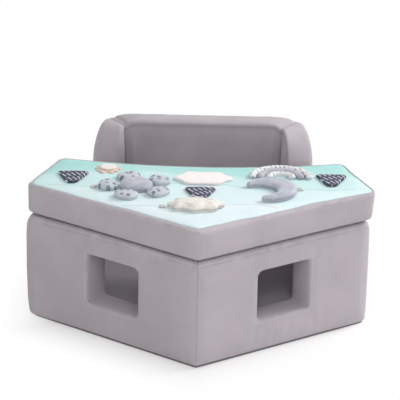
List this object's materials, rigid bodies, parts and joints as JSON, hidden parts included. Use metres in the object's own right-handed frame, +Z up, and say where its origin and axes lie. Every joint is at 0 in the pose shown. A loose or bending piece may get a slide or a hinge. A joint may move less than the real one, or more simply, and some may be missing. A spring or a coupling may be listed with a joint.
{
  "type": "baby activity center",
  "caption": "Five-sided foam floor seat for a baby, with a tall back, windows in its two front walls and a thick padded table mat on top.",
  "frame": {"origin": "middle of the footprint at floor level", "axes": "+Z up, -Y toward the front corner, +Y toward the backrest, +X to the right seen from the front"},
  "size_m": [0.5798, 0.5606, 0.26],
  "materials": {
    "grey_fabric": "woven polyester, matte",
    "lining_fabric": "woven polyester, matte",
    "non_slip_fabric": "fabric with rubber dots",
    "foam": "open foam",
    "print_fabric": "printed soft polyester",
    "hook_tape": "hook tape",
    "loop_tape": "loop tape",
    "zip_tape": "woven tape",
    "zip_coil": "nylon coil",
    "zip_metal": "nickel plated",
    "ribbon": "satin ribbon",
    "grey_plush": "short plush",
    "cream_plush": "short plush",
    "flower_plain": "short plush",
    "flower_dots": "dotted cotton",
    "rainbow_white": "striped cotton",
    "rainbow_grey": "striped cotton",
    "pale_fabric": "soft velour",
    "peach_fabric": "felt",
    "white_fabric": "felt",
    "navy_fabric": "striped cotton"
  },
  "bodies": {
    "base": {"non_slip_sheet": "non_slip_fabric", "floor_foam": "foam", "floor_cover": "lining_fabric", "front_right_foam": "foam", "side_right_foam": "foam", "back_foam": "foam", "side_left_foam": "foam", "front_left_foam": "foam", "cover_right": "grey_fabric", "cover_back": "grey_fabric", "cover_left": "grey_fabric", "hook_strip_front_right": "hook_tape", "hook_strip_side_right": "hook_tape", "hook_strip_side_left": "hook_tape", "hook_strip_front_left": "hook_tape", "base_zip_tape": "zip_tape", "base_zip_coil": "zip_coil"},
    "table_mat": {"mat_foam": "foam", "mat_band": "grey_fabric", "mat_top_panel": "print_fabric", "loop_strip_front_right": "loop_tape", "loop_strip_side_right": "loop_tape", "loop_strip_side_left": "loop_tape", "loop_strip_front_left": "loop_tape", "mat_zip_tape": "zip_tape", "mat_zip_coil": "zip_coil", "moon_ribbon": "ribbon", "cloud_ribbon": "ribbon", "flower_ribbon": "ribbon", "pennant_ribbon_1": "ribbon", "pennant_ribbon_2": "ribbon", "pennant_ribbon_3": "ribbon", "rainbow_inner": "rainbow_white", "rainbow_middle": "rainbow_grey", "rainbow_outer": "rainbow_white", "mist_patch": "pale_fabric", "sun_rays": "peach_fabric", "sun_disc": "white_fabric"},
    "moon": {"moon_plush": "grey_plush"},
    "cloud": {"cloud_plush": "cream_plush"},
    "flower": {"flower_centre": "flower_plain", "flower_petal_1": "flower_dots", "flower_petal_2": "flower_dots", "flower_petal_3": "flower_dots", "flower_petal_4": "flower_dots", "flower_petal_5": "flower_dots"},
    "left_pennant": {"pennant_1": "navy_fabric"},
    "middle_pennant": {"pennant_2": "navy_fabric"},
    "right_pennant": {"pennant_3": "navy_fabric"},
    "base_slider": {"base_zip_slider": "zip_metal"},
    "base_pull": {"base_zip_pull": "zip_metal"},
    "mat_slider": {"mat_zip_slider": "zip_metal"},
    "mat_pull": {"mat_zip_pull": "zip_metal"}
  },
  "joints": [
    {"name": "table_mat_lift", "type": "slide", "parent": "base", "child": "table_mat", "axis": [0, 0, 1], "range_m": [0, 0.25]},
    {"name": "moon_flip", "type": "hinge", "parent": "table_mat", "child": "moon", "pos_m": [0.16231, -0.08195, 0.2459], "axis": [-0.342, 0.9397, 0], "range_deg": [0, 90]},
    {"name": "cloud_flip", "type": "hinge", "parent": "table_mat", "child": "cloud", "pos_m": [-0.0568, -0.17572, 0.2459], "axis": [0, -1, 0], "range_deg": [0, 90]},
    {"name": "flower_flip", "type": "hinge", "parent": "table_mat", "child": "flower", "pos_m": [-0.1748, -0.08772, 0.2459], "axis": [0, -1, 0], "range_deg": [0, 90]},
    {"name": "left_pennant_flip", "type": "hinge", "parent": "table_mat", "child": "left_pennant", "pos_m": [-0.218, -0.01892, 0.2459], "axis": [-1, 0, 0], "range_deg": [0, 105]},
    {"name": "middle_pennant_flip", "type": "hinge", "parent": "table_mat", "child": "middle_pennant", "pos_m": [0, -0.08592, 0.2459], "axis": [-1, 0, 0], "range_deg": [0, 105]},
    {"name": "right_pennant_flip", "type": "hinge", "parent": "table_mat", "child": "right_pennant", "pos_m": [0.222, -0.00892, 0.2459], "axis": [-1, 0, 0], "range_deg": [0, 105]},
    {"name": "base_zip_run", "type": "slide", "parent": "base", "child": "base_slider", "axis": [1, 0, 0], "range_m": [0, 0.228]},
    {"name": "base_pull_swing", "type": "hinge", "parent": "base_slider", "child": "base_pull", "pos_m": [-0.114, 0.27761, 0.038], "axis": [1, 0, 0], "range_deg": [0, 165]},
    {"name": "mat_zip_run", "type": "hinge", "parent": "table_mat", "child": "mat_slider", "pos_m": [0, 0.98154, 0.2144], "axis": [0, 0, 1], "range_deg": [0, 10.2]},
    {"name": "mat_pull_swing", "type": "hinge", "parent": "mat_slider", "child": "mat_pull", "pos_m": [-0.08322, 0.04949, 0.2144], "axis": [0.996, -0.0889, 0], "range_deg": [0, 165]}
  ]
}
